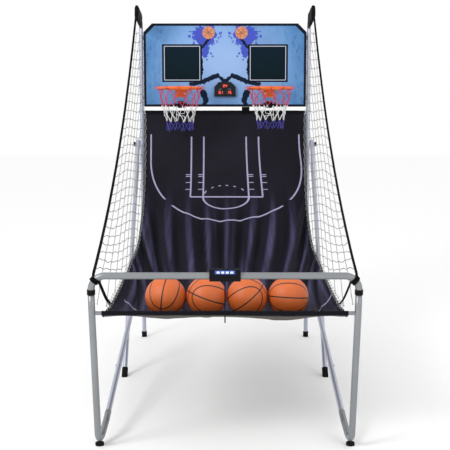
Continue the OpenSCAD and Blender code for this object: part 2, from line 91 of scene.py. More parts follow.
class Shade:
    """A node material with short calls for the nodes that this model uses."""

    def __init__(self, name, roughness=0.5, **constants):
        self.mat = bpy.data.materials.new(name)
        self.mat.use_nodes = True
        self.nodes = self.mat.node_tree.nodes
        self.links = self.mat.node_tree.links
        self.bsdf = self.nodes["Principled BSDF"]
        self.bsdf.inputs["Roughness"].default_value = roughness
        for key, value in constants.items():
            self.bsdf.inputs[key.replace("_", " ")].default_value = value

    def add(self, kind, inputs=(), **props):
        n = self.nodes.new(kind)
        for key, value in props.items():
            setattr(n, key, value)
        for key, value in dict(inputs).items():
            self.put(value, n.inputs[key])
        return n

    def put(self, value, socket):
        if isinstance(value, bpy.types.NodeSocket):
            self.links.new(value, socket)
        else:
            socket.default_value = value

    def math(self, op, a, b=0.0, c=0.0, clamp=False):
        n = self.add("ShaderNodeMath", operation=op, use_clamp=clamp)
        for i, v in enumerate((a, b, c)):
            self.put(v, n.inputs[i])
        return n.outputs[0]

    def mix(self, share, a, b):
        n = self.add("ShaderNodeMix", data_type="RGBA")
        self.put(share, n.inputs[0])
        self.put(a, n.inputs[6])
        self.put(b, n.inputs[7])
        return n.outputs[2]

    def noise(self, scale, detail=3.0, vector=None, roughness=0.5):
        n = self.add("ShaderNodeTexNoise", {"Scale": scale, "Detail": detail, "Roughness": roughness})
        self.links.new(vector or self.place(), n.inputs["Vector"])
        return n.outputs["Fac"]

    def place(self):
        return self.add("ShaderNodeTexCoord").outputs["Object"]

    def split(self, vector):
        n = self.add("ShaderNodeSeparateXYZ", {"Vector": vector})
        return n.outputs

    def ramp(self, value, low, high):
        """0 below low, 1 above high."""
        n = self.add("ShaderNodeMapRange", {"From Min": low, "From Max": high})
        self.put(value, n.inputs["Value"])
        return n.outputs["Result"]

    def colour(self, socket):
        self.put(socket, self.bsdf.inputs["Base Color"])

    def rough(self, socket):
        self.put(socket, self.bsdf.inputs["Roughness"])

    def bump(self, height, strength=0.3, distance=0.001):
        n = self.add("ShaderNodeBump", {"Strength": strength, "Distance": distance})
        self.put(height, n.inputs["Height"])
        self.put(n.outputs["Normal"], self.bsdf.inputs["Normal"])

    # Shapes drawn in a plane: each gives 1 inside and 0 outside
    def box(self, x, y, cx, cy, hx, hy, soft=0.0008):
        dx = self.math("SUBTRACT", hx, self.math("ABSOLUTE", self.math("SUBTRACT", x, cx)))
        dy = self.math("SUBTRACT", hy, self.math("ABSOLUTE", self.math("SUBTRACT", y, cy)))
        return self.ramp(self.math("MINIMUM", dx, dy), -soft, soft)

    def distance(self, x, y, cx, cy, sx=1.0, sy=1.0):
        dx = self.math("DIVIDE", self.math("SUBTRACT", x, cx), sx)
        dy = self.math("DIVIDE", self.math("SUBTRACT", y, cy), sy)
        total = self.math("ADD", self.math("MULTIPLY", dx, dx), self.math("MULTIPLY", dy, dy))
        return self.math("SQRT", total)

    def ring(self, x, y, cx, cy, rx, ry, half, soft=0.0008):
        d = self.math("SUBTRACT", self.distance(x, y, cx, cy, rx, ry), 1.0)
        d = self.math("MULTIPLY", self.math("ABSOLUTE", d), (rx + ry) / 2)
        return self.ramp(self.math("SUBTRACT", half, d), -soft, soft)

    def stroke(self, x, y, a, b, half, soft=0.001, wobble=None):
        """A straight stroke from a to b, its half width grown by wobble."""
        bx, by = b[0] - a[0], b[1] - a[1]
        px, py = self.math("SUBTRACT", x, a[0]), self.math("SUBTRACT", y, a[1])
        along = self.math("ADD", self.math("MULTIPLY", px, bx), self.math("MULTIPLY", py, by))
        along = self.math("DIVIDE", along, bx * bx + by * by, clamp=True)
        dx = self.math("SUBTRACT", px, self.math("MULTIPLY", along, bx))
        dy = self.math("SUBTRACT", py, self.math("MULTIPLY", along, by))
        d = self.distance(dx, dy, 0.0, 0.0)
        edge = self.math("ADD", wobble, half) if wobble else half
        return self.ramp(self.math("SUBTRACT", edge, d), -soft, soft)

    def union(self, masks):
        total = masks[0]
        for m in masks[1:]:
            total = self.math("MAXIMUM", total, m)
        return total


def rgb(r, g, b):
    return (r, g, b, 1.0)


def shifted(base, gain):
    return rgb(*(min(1.0, c * gain) for c in base))


def enamel(name, base, roughness, metallic=0.0, wear=0.12):
    """Sprayed or plated metal with faint mottling and orange peel."""
    s = Shade(name, roughness, Metallic=metallic)
    patch = s.noise(6.0, 4.0)
    s.colour(s.mix(patch, shifted(base, 1 - wear), shifted(base, 1 + wear)))
    s.rough(s.math("ADD", s.math("MULTIPLY", s.noise(38.0, 2.0), 0.16), roughness - 0.08))
    s.bump(s.noise(420.0, 2.0), 0.08, 0.0004)
    return s.mat


def moulded(name, base, roughness=0.55, grain=900.0):
    """Plastic or rubber with a fine moulded grain."""
    s = Shade(name, roughness, Specular_IOR_Level=0.07)
    s.colour(s.mix(s.noise(14.0), shifted(base, 0.8), shifted(base, 1.25)))
    s.rough(s.math("ADD", s.math("MULTIPLY", s.noise(60.0), 0.2), roughness - 0.1))
    s.bump(s.noise(grain, 3.0), 0.25, 0.0004)
    return s.mat


def weave_height(s, vector, pitch):
    """Height of a plain weave with threads pitch apart."""
    parts = s.split(vector)
    waves = [s.math("SINE", s.math("MULTIPLY", p, 2 * math.pi / pitch)) for p in parts[:3]]
    return s.math("ADD", s.math("MULTIPLY", waves[0], waves[1]), s.math("MULTIPLY", waves[1], waves[2]))


def webbing(name, base, pitch=0.0016, roughness=0.75):
    s = Shade(name, roughness, Sheen_Weight=0.01, Sheen_Roughness=0.5, Specular_IOR_Level=0.05)
    s.colour(s.mix(s.noise(30.0), shifted(base, 0.7), shifted(base, 1.4)))
    s.bump(weave_height(s, s.place(), pitch), 0.5, 0.0005)
    return s.mat


def twine(name, base):
    """Twisted net cord."""
    s = Shade(name, 0.8, Sheen_Weight=0.2)
    x, y, z = s.split(s.place())[:3]
    lay = s.math("SINE", s.math("MULTIPLY", s.math("ADD", s.math("ADD", x, y), z), 2400.0))
    s.colour(s.mix(s.noise(120.0), shifted(base, 0.78), shifted(base, 1.08)))
    s.bump(lay, 0.5, 0.0004)
    return s.mat


# The printed court on the ramp, across the middle and along the cloth from its front edge
LINE = 0.0045
KEY_TOP = 2.307
KEY_LOW = 1.911
OUTER_KEY = 0.206
INNER_KEY = 0.130
THREE_X = 0.455
THREE_Y = 2.16
THREE_TOP = 2.322
THREE_BREAK = 1.868
LANE_TICKS = (2.067, 2.055, 2.014, 1.966)
DASH_PITCH = 0.043


def court_lines(s, u, v):
    """Every printed line of the court, as one mask."""
    masks = []
    for side in (-1, 1):
        for x in (OUTER_KEY, INNER_KEY):
            half = (KEY_TOP - KEY_LOW) / 2
            masks.append(s.box(u, v, side * x, KEY_LOW + half, LINE, half))
            for tick in LANE_TICKS:
                masks.append(s.box(u, v, side * (x + 0.018), tick, 0.014, 0.0025))
        masks.append(s.box(u, v, side * THREE_X, (THREE_TOP + THREE_Y) / 2, LINE, (THREE_TOP - THREE_Y) / 2))
        # Short stroke near the trough
        masks.append(s.stroke(u, v, (side * 0.445, 0.50), (side * 0.345, 0.335), LINE))
    masks.append(s.box(u, v, 0.0, KEY_LOW, OUTER_KEY, LINE))
    below = s.ramp(s.math("SUBTRACT", KEY_LOW, v), 0.0, 0.001)
    masks.append(s.math("MULTIPLY", below, s.ring(u, v, 0.0, KEY_LOW, INNER_KEY, 0.090, LINE)))
    # The dashed half of the free-throw circle
    above = s.ramp(s.math("SUBTRACT", v, KEY_LOW + 0.02), 0.0, 0.001)
    dashes = s.ramp(s.math("SINE", s.math("MULTIPLY", u, 2 * math.pi / DASH_PITCH)), 0.45, 0.6)
    arc = s.ring(u, v, 0.0, KEY_LOW, INNER_KEY, 0.082, LINE * 0.8)
    masks.append(s.math("MULTIPLY", above, s.math("MULTIPLY", dashes, arc)))
    # The three-point line, broken once on each side
    lower = s.ramp(s.math("SUBTRACT", THREE_Y, v), 0.0, 0.001)
    gap = s.ramp(s.math("ABSOLUTE", s.math("SUBTRACT", v, THREE_BREAK)), 0.022, 0.024)
    big = s.ring(u, v, 0.0, THREE_Y, THREE_X, 0.430, LINE)
    masks.append(s.math("MULTIPLY", lower, s.math("MULTIPLY", gap, big)))
    return s.union(masks)


def court_cloth():
    """Coated black polyester with the court printed on it."""
    s = Shade("court_cloth", 0.36, Sheen_Weight=0.10, Sheen_Roughness=0.35, Specular_IOR_Level=0.08)
    s.bsdf.inputs["Sheen Tint"].default_value = rgb(0.60, 0.58, 0.95)
    uv = s.add("ShaderNodeUVMap", uv_map="flat").outputs["UV"]
    u, v = s.split(uv)[:2]
    black = s.mix(s.noise(3.5, 4.0, uv), rgb(0.005, 0.004, 0.008), rgb(0.015, 0.013, 0.022))
    # Painted light on the folds: the second UV map holds a painted highlight share for the fold crests,
    # broken into streaks, and a painted shade share for the fold hollows
    crest_highlight, hollow_shade = s.split(s.add("ShaderNodeUVMap", uv_map="folds").outputs["UV"])[:2]
    streak = s.add("ShaderNodeMapping", {"Vector": uv, "Scale": (26.0, 1.6, 1.0)}).outputs[0]
    crest_highlight = s.math("MULTIPLY", crest_highlight, s.ramp(s.noise(1.0, 3.0, streak), 0.25, 0.65))
    # Painted shade darkens the fold hollows, then a bluish painted highlight lightens the fold crests
    black = s.mix(hollow_shade, black, rgb(0.003, 0.003, 0.005))
    black = s.mix(crest_highlight, black, rgb(0.080, 0.077, 0.160))
    ink = s.mix(s.noise(60.0, 2.0, uv), rgb(0.30, 0.29, 0.44), rgb(0.44, 0.42, 0.60))
    s.colour(s.mix(court_lines(s, u, v), black, ink))
    threads = s.math("MULTIPLY", s.math("SINE", s.math("MULTIPLY", u, 5200.0)),
                     s.math("SINE", s.math("MULTIPLY", v, 5200.0)))
    crease = s.math("MULTIPLY", s.noise(26.0, 5.0, uv, 0.6), 3.0)
    s.rough(s.math("ADD", s.math("MULTIPLY", s.noise(9.0, 3.0, uv), 0.16), 0.34))
    s.bump(s.math("ADD", threads, crease), 0.35, 0.0007)
    return s.mat


BOARD_MID_Z = middle("board_panel").z
SQUARE_X = 0.2615
SQUARE_Z = 1.7065
MARK_X, MARK_Z, MARK_R = 0.100, 1.889, 0.038
MARK_SEAM = 0.0011


def board_print():
    """Blue paint-wash backboard with target squares, splashes and two ball marks."""
    s = Shade("board_print", 0.42, Specular_IOR_Level=0.05)
    place = s.place()
    x, y, z = s.split(place)[:3]
    ax = s.math("ABSOLUTE", x)
    mirrored = s.add("ShaderNodeCombineXYZ", {"X": ax, "Z": z}).outputs[0]
    wash = s.noise(3.2, 6.0, place, 0.62)
    middle_glow = s.ramp(s.distance(x, z, 0.0, BOARD_MID_Z + 0.02, 0.34, 0.24), 1.4, 0.25)
    blue = s.mix(s.ramp(wash, 0.3, 0.7), rgb(0.055, 0.17, 0.38), rgb(0.17, 0.35, 0.64))
    blue = s.mix(s.math("MULTIPLY", middle_glow, 0.85), blue, rgb(0.31, 0.45, 0.74))
    grain = s.add("ShaderNodeMapping", {"Vector": place, "Scale": (1.0, 1.0, 0.35)}).outputs[0]
    scratches = s.ramp(s.noise(46.0, 5.0, grain, 0.7), 0.54, 0.64)
    rim = s.ramp(s.math("ABSOLUTE", x), 0.30, 0.5)
    blue = s.mix(s.math("MULTIPLY", scratches, s.math("MULTIPLY", rim, 0.75)), blue, rgb(0.035, 0.10, 0.25))
    blue = s.mix(s.math("MULTIPLY", rim, 0.30), blue, rgb(0.045, 0.15, 0.34))
    # Violet splashes behind the ball marks, with thrown drops
    ragged = s.math("MULTIPLY", s.math("SUBTRACT", s.noise(30.0, 3.0, mirrored, 0.7), 0.5), 0.16)
    splash = s.math("ADD", s.distance(ax, z, 0.118, 1.874, 1.25, 0.92), ragged)
    mask = s.ramp(splash, 0.066, 0.062)
    run = s.math("ADD", s.distance(ax, z, 0.122, 1.79, 0.62, 1.0), ragged)
    mask = s.math("MAXIMUM", mask, s.ramp(run, 0.046, 0.042))
    for cx, cz, r in ((0.195, 1.862, 0.006), (0.216, 1.868, 0.008), (0.086, 1.765, 0.006),
                      (0.075, 1.748, 0.005), (0.110, 1.728, 0.005), (0.055, 1.872, 0.006),
                      (0.040, 1.858, 0.005), (0.030, 1.885, 0.006)):
        mask = s.math("MAXIMUM", mask, s.ramp(s.distance(ax, z, cx, cz), r + 0.001, r))
    blue = s.mix(mask, blue, rgb(0.060, 0.085, 0.46))
    # Dark brush strokes that frame the middle
    wobble = s.math("MULTIPLY", s.math("SUBTRACT", s.noise(34.0, 4.0, mirrored, 0.7), 0.5), 0.040)
    strokes = [((0.150, 1.790), (0.092, 1.860), 0.009), ((0.150, 1.800), (0.142, 1.640), 0.009),
               ((0.150, 1.590), (0.050, 1.630), 0.014), ((0.050, 1.632), (0.006, 1.602), 0.010),
               ((0.205, 1.583), (0.150, 1.590), 0.012), ((0.118, 1.482), (0.132, 1.530), 0.019),
               ((0.128, 1.455), (0.118, 1.490), 0.013)]
    marks = [s.stroke(ax, z, a, b, half, wobble=wobble) for a, b, half in strokes]
    blue = s.mix(s.union(marks), blue, rgb(0.006, 0.013, 0.030))
    # Target squares
    inside = s.mix(s.ramp(z, 1.80, 1.60), rgb(0.004, 0.013, 0.024), rgb(0.003, 0.011, 0.015))
    for half_x, half_z, paint in ((0.1215, 0.1135, rgb(0.004, 0.008, 0.018)),
                                  (0.1100, 0.1035, rgb(0.46, 0.50, 0.58)),
                                  (0.1055, 0.0990, rgb(0.003, 0.006, 0.014)),
                                  (0.0960, 0.0900, inside)):
        blue = s.mix(s.box(ax, z, SQUARE_X, SQUARE_Z, half_x, half_z), blue, paint)
    # Ball marks
    ball = s.ramp(s.distance(ax, z, MARK_X, MARK_Z), MARK_R + 0.0005, MARK_R - 0.0005)
    orange = s.mix(s.noise(90.0, 3.0, place), rgb(0.50, 0.19, 0.10), rgb(0.66, 0.30, 0.17))
    blue = s.mix(ball, blue, orange)
    seams = [s.ring(ax, z, 0.072, 1.918, 0.036, 0.036, MARK_SEAM),
             s.ring(ax, z, 0.128, 1.858, 0.036, 0.036, MARK_SEAM),
             s.stroke(ax, z, (0.075, 1.864), (0.125, 1.914), MARK_SEAM),
             s.stroke(ax, z, (0.073, 1.912), (0.127, 1.866), MARK_SEAM)]
    blue = s.mix(s.math("MULTIPLY", ball, s.union(seams)), blue, rgb(0.09, 0.03, 0.03))
    # Unprinted back and edges
    bare = s.mix(s.noise(12.0, 3.0, place), rgb(0.030, 0.031, 0.034), rgb(0.050, 0.052, 0.056))
    s.colour(s.mix(s.ramp(y, BOARD_FACE + 0.001, BOARD_FACE + 0.002), blue, bare))
    s.bump(s.noise(300.0, 2.0, place), 0.05, 0.0003)
    return s.mat


def ball_rubber(index, centre, turn):
    """Pebbled orange rubber with black seams, the ball turned by its own angles."""
    s = Shade(f"ball_rubber_{index}", 0.48)
    move = s.add("ShaderNodeVectorMath", {0: s.place(), 1: centre}, operation="SUBTRACT").outputs[0]
    spun = s.add("ShaderNodeVectorRotate", {"Vector": move, "Rotation": turn}, rotation_type="EULER_XYZ")
    x, y, z = s.split(spun.outputs[0])[:3]
    radius = (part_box(f"ball_{index}")[1][0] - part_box(f"ball_{index}")[0][0]) / 2
    half, soft = 0.0026, 0.0005
    seams = [s.ramp(s.math("ABSOLUTE", c), half + soft, half - soft) for c in (x, z)]
    ax = s.math("ABSOLUTE", x)
    curve = s.math("SUBTRACT", s.distance(ax, z, 1.12 * radius, 0.0), 0.80 * radius)
    seams.append(s.ramp(s.math("ABSOLUTE", curve), half + soft, half - soft))
    line = s.union(seams)
    skin = s.mix(s.noise(18.0, 4.0), rgb(0.55, 0.105, 0.018), rgb(0.68, 0.150, 0.030))
    s.colour(s.mix(line, skin, rgb(0.012, 0.010, 0.010)))
    pebble = s.add("ShaderNodeTexVoronoi", {"Scale": 620.0, "Vector": s.place()}).outputs["Distance"]
    s.bump(s.math("SUBTRACT", s.math("MULTIPLY", pebble, -0.6), s.math("MULTIPLY", line, 2.5)), 0.5, 0.0009)
    return s.mat


GREY = enamel("grey_enamel", (0.235, 0.245, 0.255), 0.38, metallic=0.55)
SILVER = enamel("silver_plate", (0.42, 0.44, 0.53), 0.32, metallic=0.6)
DARK_TUBE = enamel("dark_tube", (0.03, 0.03, 0.034), 0.45)
ZINC = enamel("zinc", (0.55, 0.55, 0.57), 0.3, metallic=0.9)
HOOP_PAINT = enamel("hoop_enamel", (0.82, 0.145, 0.010), 0.32)
BLACK_PLASTIC = moulded("black_plastic", (0.006, 0.006, 0.008), 0.45)
EDGE_PLASTIC = moulded("edge_moulding", (0.006, 0.009, 0.018), 0.42)
RUBBER = moulded("foot_rubber", (0.008, 0.008, 0.008), 0.8, 500.0)
CASE = moulded("score_case", (0.014, 0.016, 0.020), 0.48)
PLATE_BLUE = moulded("plate_film", (0.05, 0.10, 0.40), 0.3)
MARK_GREY = moulded("mark_grey", (0.30, 0.31, 0.33), 0.5)
BUTTON_WHITE = moulded("button_cap", (0.62, 0.68, 0.86), 0.4)
COURT = court_cloth()
BOARD = board_print()
BLACK_CLOTH = webbing("black_cloth", (0.006, 0.006, 0.009), 0.0012, 0.6)
BLACK_WEBBING = webbing("black_webbing", (0.004, 0.004, 0.005), 0.002)
CLOTH_BACK = webbing("cloth_back", (0.115, 0.105, 0.095), 0.0012, 0.8)
WHITE_TWINE = twine("white_twine", (0.44, 0.45, 0.44))
NET_RED = twine("red_twine", (0.62, 0.035, 0.10))
NET_WHITE = twine("pale_twine", (0.80, 0.80, 0.80))
NET_BLUE = twine("blue_twine", (0.035, 0.030, 0.32))


def dark_glass():
    s = Shade("display_window", 0.25)
    s.colour(s.mix(s.noise(80.0), rgb(0.020, 0.003, 0.003), rgb(0.035, 0.005, 0.005)))
    return s.mat


def led():
    s = Shade("led_red", 0.4, Emission_Strength=2.4)
    s.bsdf.inputs["Emission Color"].default_value = rgb(1.0, 0.05, 0.02)
    s.colour(s.mix(s.noise(400.0), rgb(0.8, 0.04, 0.02), rgb(1.0, 0.08, 0.04)))
    return s.mat


MATERIAL_GROUPS = (
    (GREY, ["crossbar"]),
    (SILVER, ["left_upright", "right_upright", "left_strut", "right_strut", "left_tie_tube",
              "right_tie_tube", "lower_rear_bar", "ramp_top_bar", "board_bar", "left_side_tube",
              "right_side_tube"]),
    (RUBBER, ["rear_feet", "front_feet", "control_cable"]),
    (ZINC, ["strut_bolts", "pivot_bolts", "side_bolts", "hoop_bolts", "board_clips"]),
    (BLACK_PLASTIC, ["bar_collars", "left_knob", "right_knob", "sensor_housings",
                     "left_sensor_arm", "right_sensor_arm", "control_box"]),
    (BOARD, ["board_panel"]),
    (EDGE_PLASTIC, ["board_trim"]),
    (CASE, ["scoreboard_case"]),
    (dark_glass(), ["scoreboard_displays"]),
    (HOOP_PAINT, ["left_hoop", "right_hoop", "hoop_brackets"]),
    (PLATE_BLUE, ["control_plate"]),
    (BUTTON_WHITE, [f"button_{i}" for i in range(1, 5)]),
)
NODE_MATERIALS = {name: material for material, names in MATERIAL_GROUPS for name in names}
# Each ball's turns, in degrees about X, Y and Z, from the left
BALL_TURNS = [tuple(math.radians(a) for a in turn)
              for turn in ((48, 80, 92), (4, -20, 62), (-4, 40, 112), (8, -3, 90))]
for i, turn in enumerate(BALL_TURNS, 1):
    NODE_MATERIALS[f"ball_{i}"] = ball_rubber(i, middle(f"ball_{i}"), turn)

for name, material in NODE_MATERIALS.items():
    for slot in frame["nodes"][name].material_slots:
        slot.material = material

# ---------------------------------------------------------------- mesh helpers


class Mesh:
    """Collects tubes and strips into one mesh."""

    def __init__(self):
        self.points = []
        self.faces = []

    def tube(self, path, radius, sides=8, closed=False, flat=1.0):
        """Sweeps a round (or flattened) section along a path of Vectors."""
        path = [Vector(p) for p in path]
        n = len(path)
        radii = radius if isinstance(radius, (list, tuple)) else [radius] * n
        first = len(self.points)
        up = None
        for i, p in enumerate(path):
            ahead = path[(i + 1) % n] if closed or i < n - 1 else path[i]
            behind = path[i - 1] if closed or i > 0 else path[i]
            way = (ahead - behind).normalized()
            if up is None:
                up = way.orthogonal().normalized()
            up = (up - way * up.dot(way)).normalized()
            side = way.cross(up)
            for k in range(sides):
                a = 2 * math.pi * k / sides
                self.points.append(p + (up * math.cos(a) + side * math.sin(a) * flat) * radii[i])
        for i in range(n if closed else n - 1):
            for k in range(sides):
                a = first + i * sides + k
                b = first + i * sides + (k + 1) % sides
                c = first + ((i + 1) % n) * sides + (k + 1) % sides
                d = first + ((i + 1) % n) * sides + k
                self.faces.append((a, b, c, d))
        if not closed:
            self.faces.append(tuple(range(first + sides - 1, first - 1, -1)))
            self.faces.append(tuple(range(first + (n - 1) * sides, first + n * sides)))

    def grid(self, rows, wrap=False):
        """Joins rows of points, all the same length, into quads."""
        first = len(self.points)
        width = len(rows[0])
        for row in rows:
            self.points.extend(row)
        for i in range(len(rows) - 1):
            for k in range(width if wrap else width - 1):
                a = first + i * width + k
                b = first + i * width + (k + 1) % width
                self.faces.append((a, b, b + width, a + width))

    def make(self, name, material, smooth=True):
        mesh = bpy.data.meshes.new(name)
        mesh.from_pydata([tuple(p) for p in self.points], [], self.faces)
        mesh.materials.append(material)
        mesh.polygons.foreach_set("use_smooth", [smooth] * len(mesh.polygons))
        mesh.update()
        obj = bpy.data.objects.new(name, mesh)
        bpy.context.scene.collection.objects.link(obj)
        return obj


def rounded(a, b, c, radius, steps):
    """Points of the arc that rounds corner b between a and c."""
    u, v = (a - b).normalized(), (c - b).normalized()
    half = u.angle(v) / 2
    centre = b + (u + v).normalized() * radius / math.sin(half)
    start = b + u * radius / math.tan(half) - centre
    end = b + v * radius / math.tan(half) - centre
    turn = math.pi - 2 * half
    points = []
    for i in range(steps + 1):
        share = i / steps
        spoke = start * math.sin(turn * (1 - share)) + end * math.sin(turn * share)
        points.append(centre + spoke / math.sin(turn))
    return points


def curve_through(points, steps):
    """A smooth path through points."""
    p = [Vector(q) for q in points]
    p = [p[0] * 2 - p[1]] + p + [p[-1] * 2 - p[-2]]
    out = []
    for i in range(1, len(p) - 2):
        for k in range(steps):
            t = k / steps
            out.append(0.5 * ((2 * p[i]) + (p[i + 1] - p[i - 1]) * t
                              + (2 * p[i - 1] - 5 * p[i] + 4 * p[i + 1] - p[i + 2]) * t * t
                              + (3 * p[i] - p[i - 1] - 3 * p[i + 1] + p[i + 2]) * t ** 3))
    out.append(p[-2])
    return out


def place_on(obj, body, *nodes, slot=None):
    """Hides the nodes that a piece replaces and hangs the piece on the body that it rides. The slot is not
    used.
    """
    if nodes:
        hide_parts(*nodes)
    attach(obj, body)
    return obj


# ---------------------------------------------------------------- bent tubes

SIDES = 32
FRONT_R = 0.014
FOOT_BEND = 0.038
BAR_BEND = 0.058
TUBE_R = 0.0125
BAR_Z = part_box("top_bar")[1][2] - FRONT_R
BAR_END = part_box("top_bar")[0][2]
FOOT_Y = 0.100


def side_point(s, y):
    """The long side tube's centre line at a distance behind the crossbar."""
    rear = PIVOT.y - FRONT_Y
    return at(s * SIDE_X, y, PIVOT.z - 0.228 * (rear - y))


def front_leg(s):
    """Front leg, its foot bend and the heel that runs into the side tube."""
    x = s * LEG_X
    top, knee = at(x, -0.009, BAR_END), at(x, 0, CROSSBAR.z)
    foot = at(x - s * 0.003, FOOT_Y, 0.002)
    heel, end = side_point(s, 0.200), side_point(s, 0.270)
    path = [top, *rounded(top, knee, foot, 0.150, 10), *rounded(knee, foot, heel, FOOT_BEND, 24),
            *rounded(foot, heel, end, 0.090, 8), end]
    m = Mesh()
    m.tube(path, FRONT_R, SIDES)
    return m.make("left_leg_tube" if s < 0 else "right_leg_tube", GREY)


def front_bar():
    """Front bar with its two bent ends."""
    low, corner = at(LEG_X, -0.009, BAR_END), at(LEG_X, -0.015, BAR_Z)
    far_corner, far_low = at(-LEG_X, -0.015, BAR_Z), at(-LEG_X, -0.009, BAR_END)
    path = [low, *rounded(low, corner, far_corner, BAR_BEND, 20),
            *rounded(corner, far_corner, far_low, BAR_BEND, 20), far_low]
    m = Mesh()
    m.tube(path, FRONT_R, SIDES)
    return m.make("front_bar_tube", GREY)


def net_arm(s):
    """Arm at an upright's top: the tube, the start of its straight part, and its tip."""
    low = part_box("right_net_arm")[0]
    base = Vector((s * SIDE_X, UPRIGHT.y, low[2]))
    tip = Vector((s * (SIDE_X + 0.004), UPRIGHT.y - 0.240, low[2] + 0.070))
    corner = base + Vector((0, 0, 0.040))
    m = Mesh()
    m.tube([base, *rounded(base, corner, tip, 0.030, 12), tip], TUBE_R - 0.002, SIDES)
    obj = m.make("left_arm_tube" if s < 0 else "right_arm_tube", DARK_TUBE)
    return obj, base + Vector((0, -0.034, 0.044)), tip


for s, side in ((-1, "left"), (1, "right")):
    place_on(front_leg(s), "front_frame", f"{side}_front_leg", slot="frame_grey")
place_on(front_bar(), "front_frame", "top_bar", slot="frame_grey")


SLEEVE_TALL = 0.041
SLEEVE_WIDE = 0.012
BOXY = 0.6


def arm_sleeve(s, base, tip):
    """A sewn cloth cover pulled over the net arm, tall and flat, puckered at its seams."""
    way = (tip - base).normalized()
    up = Vector((0, 0, 1)) - way * way.z
    up.normalize()
    out = way.cross(up)
    start, length = base + (tip - base) * 0.06, (tip - base).length * 0.97
    rows = []
    count, around = 40, 40
    for i in range(count + 1):
        t = i / count
        close = 1 - 0.12 * max(0.0, 2 * abs(t - 0.5) - 0.9) / 0.1
        row = []
        for k in range(around):
            a = 2 * math.pi * k / around
            c, d = math.cos(a), math.sin(a)
            tall = math.copysign(SLEEVE_TALL * abs(c) ** BOXY, c)
            wide = math.copysign(SLEEVE_WIDE * abs(d) ** BOXY, d)
            pucker = noise.noise(Vector((t * 9, math.cos(a) * 2, s * 3 + math.sin(a) * 2))) * 0.0022
            puff = wide * close + pucker * (1 if wide > 0 else -1)
            p = start + way * (length * t) + up * tall * close + out * puff
            row.append(p + out * s * 0.0015)
        rows.append(row)
    m = Mesh()
    m.grid(rows, wrap=True)
    first = len(m.points) - around
    m.faces.append(tuple(range(around - 1, -1, -1)))
    m.faces.append(tuple(range(first, first + around)))
    # Seam cord along the lower edge
    hem = start - up * SLEEVE_TALL + out * s * 0.0015
    m.tube([hem + way * (length * t / 20) for t in range(1, 20)], 0.0016, 6)
    return m.make("left_sleeve_cloth" if s < 0 else "right_sleeve_cloth", BLACK_CLOTH)


ARM_ENDS = {}
for s, side in ((-1, "left"), (1, "right")):
    arm, arm_base, arm_end = net_arm(s)
    ARM_ENDS[s] = arm_end
    place_on(arm, "rear_stand", f"{side}_net_arm", slot="arm_tube")
    sleeve = arm_sleeve(s, arm_base, arm_end)
    place_on(sleeve, "rear_stand", f"{side}_arm_sleeve", slot="black_cloth")

# ---------------------------------------------------------------- the ramp

RAMP_PATH = [(0.011, 0.583), (0.060, 0.556), (0.120, 0.538), (0.200, 0.526), (0.300, 0.526),
             (0.450, 0.532), (0.700, 0.546), (0.950, 0.566), (1.200, 0.596), (1.400, 0.640),
             (1.560, 0.700), (1.700, 0.780), (1.810, 0.870), (1.890, 0.970), (1.940, 1.080),
             (1.966, 1.200), (1.978, 1.310), (1.982, 1.400)]
RAMP_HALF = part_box("ramp")[1][0]
CLOTH_THICK = 0.0012
fine_path = curve_through([(0, y, z) for y, z in RAMP_PATH], 24)
run = [0.0]
for p, q in zip(fine_path, fine_path[1:]):
    run.append(run[-1] + (q - p).length)
RAMP_LENGTH = run[-1]
PRINT_LENGTH = 2.447  # the court is printed on cloth this long
PLEAT_PITCH = 0.128
SMALL_PITCH = 0.057
EDGE_RISE = 0.042
BELLY = 0.012
PRINT_DRAG = 0.085  # pull of the print's right side towards the middle


def ramp_at(length):
    """Point and upward normal of the ramp's profile, a length along it from the front."""
    length = min(max(length, 0.0), RAMP_LENGTH)
    i = min(int(np.searchsorted(run, length)), len(run) - 1)
    i = max(i, 1)
    t = (length - run[i - 1]) / (run[i] - run[i - 1])
    p = fine_path[i - 1].lerp(fine_path[i], t)
    way = (fine_path[i] - fine_path[i - 1]).normalized()
    return p, Vector((0, -way.z, way.y))


def smoothstep(a, b, x):
    """0 at a, 1 at b, smooth between."""
    t = min(max((x - a) / (b - a), 0.0), 1.0)
    return t * t * (3 - 2 * t)


def fold_height(x, length):
    """Pleats that fan from the court's lower half in towards the middle of the trough, and their shares of
    painted highlight on the crests and painted shade in the hollows.
    """
    gather = 1 - 0.42 * smoothstep(1.9, 0.8, length)
    w = x / gather
    drift = noise.noise(Vector((w * 2.6, length * 0.9, 4.0))) * 3.0
    pleat = math.sin(w * 2 * math.pi / PLEAT_PITCH + drift + 0.6)
    small = math.sin(w * 2 * math.pi / SMALL_PITCH + drift * 2.1 + length * 1.3)
    size = smoothstep(2.05, 1.55, length) * (1 - 0.55 * smoothstep(0.9, 0.25, length))
    size *= smoothstep(0.03, 0.55, length)
    swag = noise.noise(Vector((x * 2.1, length * 3.4, 9.0))) * 0.007 * smoothstep(RAMP_LENGTH, 2.2, length)
    fine = noise.noise(Vector((w * 12, length * 2.0, 2.0)))
    # Shares of painted highlight on the pleat crests and painted shade in the pleat hollows, for the cloth's
    # colour
    crest_highlight = size * smoothstep(0.15, 1.25, pleat + 0.55 * small + 0.7 * fine)
    hollow_shade = size * smoothstep(0.1, 1.2, -pleat - 0.4 * small)
    return size * (0.0125 * pleat + 0.0050 * small) + swag, crest_highlight, hollow_shade


def edge_lift(x, length):
    """The side nets pull the ramp's long edges up."""
    near = smoothstep(0.42, 1.0, abs(x) / RAMP_HALF)
    return near * (EDGE_RISE * smoothstep(0.0, 0.16, length) * smoothstep(1.55, 1.1, length))


